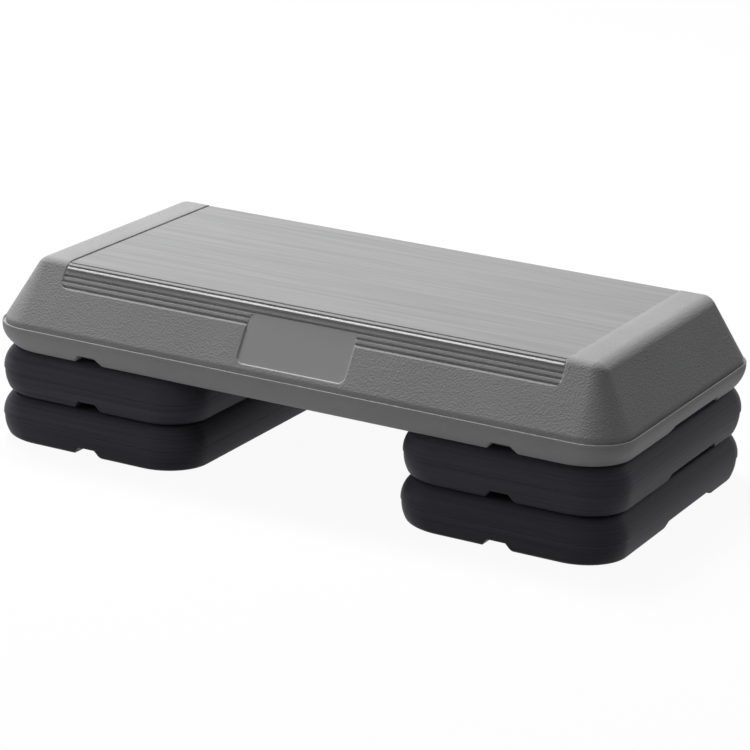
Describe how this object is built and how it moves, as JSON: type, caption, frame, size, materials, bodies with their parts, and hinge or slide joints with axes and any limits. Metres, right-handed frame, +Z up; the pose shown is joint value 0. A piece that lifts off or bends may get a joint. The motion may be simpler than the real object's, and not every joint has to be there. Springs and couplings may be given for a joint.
{
  "type": "aerobic step platform",
  "caption": "Aerobic step: a grey hollow-moulded platform with an inlaid mat and ribbed edges, standing on stacked charcoal risers with rubber feet.",
  "frame": {"origin": "on the floor, under the middle of the platform", "axes": "+X along the platform towards the right stack, +Y to the rear, +Z up"},
  "size_m": [0.724, 0.373, 0.1986],
  "materials": {
    "platform_plastic": "fine leather grain",
    "mat_rubber": "fine stipple, matt",
    "riser_plastic": "satin",
    "foot_rubber": "matt"
  },
  "bodies": {
    "left_lower": {"left_lower_riser": "riser_plastic", "left_lower_foot_front_outer": "foot_rubber", "left_lower_foot_front_inner": "foot_rubber", "left_lower_foot_rear_outer": "foot_rubber", "left_lower_foot_rear_inner": "foot_rubber"},
    "left_upper": {"left_upper_riser": "riser_plastic", "left_upper_foot_front_outer": "foot_rubber", "left_upper_foot_front_inner": "foot_rubber", "left_upper_foot_rear_outer": "foot_rubber", "left_upper_foot_rear_inner": "foot_rubber"},
    "right_lower": {"right_lower_riser": "riser_plastic", "right_lower_foot_front_outer": "foot_rubber", "right_lower_foot_front_inner": "foot_rubber", "right_lower_foot_rear_outer": "foot_rubber", "right_lower_foot_rear_inner": "foot_rubber"},
    "right_upper": {"right_upper_riser": "riser_plastic", "right_upper_foot_front_outer": "foot_rubber", "right_upper_foot_front_inner": "foot_rubber", "right_upper_foot_rear_outer": "foot_rubber", "right_upper_foot_rear_inner": "foot_rubber"},
    "platform": {"platform_shell": "platform_plastic", "tread_mat": "mat_rubber", "platform_left_foot_front_outer": "foot_rubber", "platform_left_foot_front_inner": "foot_rubber", "platform_left_foot_rear_outer": "foot_rubber", "platform_left_foot_rear_inner": "foot_rubber", "platform_right_foot_front_outer": "foot_rubber", "platform_right_foot_front_inner": "foot_rubber", "platform_right_foot_rear_outer": "foot_rubber", "platform_right_foot_rear_inner": "foot_rubber"}
  },
  "joints": [
    {"name": "upper_tier_lift", "type": "slide", "parent": "left_lower", "child": "left_upper", "axis": [0, 0, 1], "range_m": [0, 0.08]},
    {"name": "platform_lift", "type": "slide", "parent": "left_upper", "child": "platform", "axis": [0, 0, 1], "range_m": [0, 0.08]},
    {"name": "right_upper_part", "type": "slide", "parent": "platform", "child": "right_upper", "axis": [0, 0, -1], "range_m": [0, 0.08]},
    {"name": "right_lower_part", "type": "slide", "parent": "right_upper", "child": "right_lower", "axis": [0, 0, -1], "range_m": [0, 0.08]}
  ],
  "couplings": [
    {"joint": "right_upper_part", "follows": "platform_lift", "ratio": 1},
    {"joint": "right_lower_part", "follows": "upper_tier_lift", "ratio": 1}
  ]
}
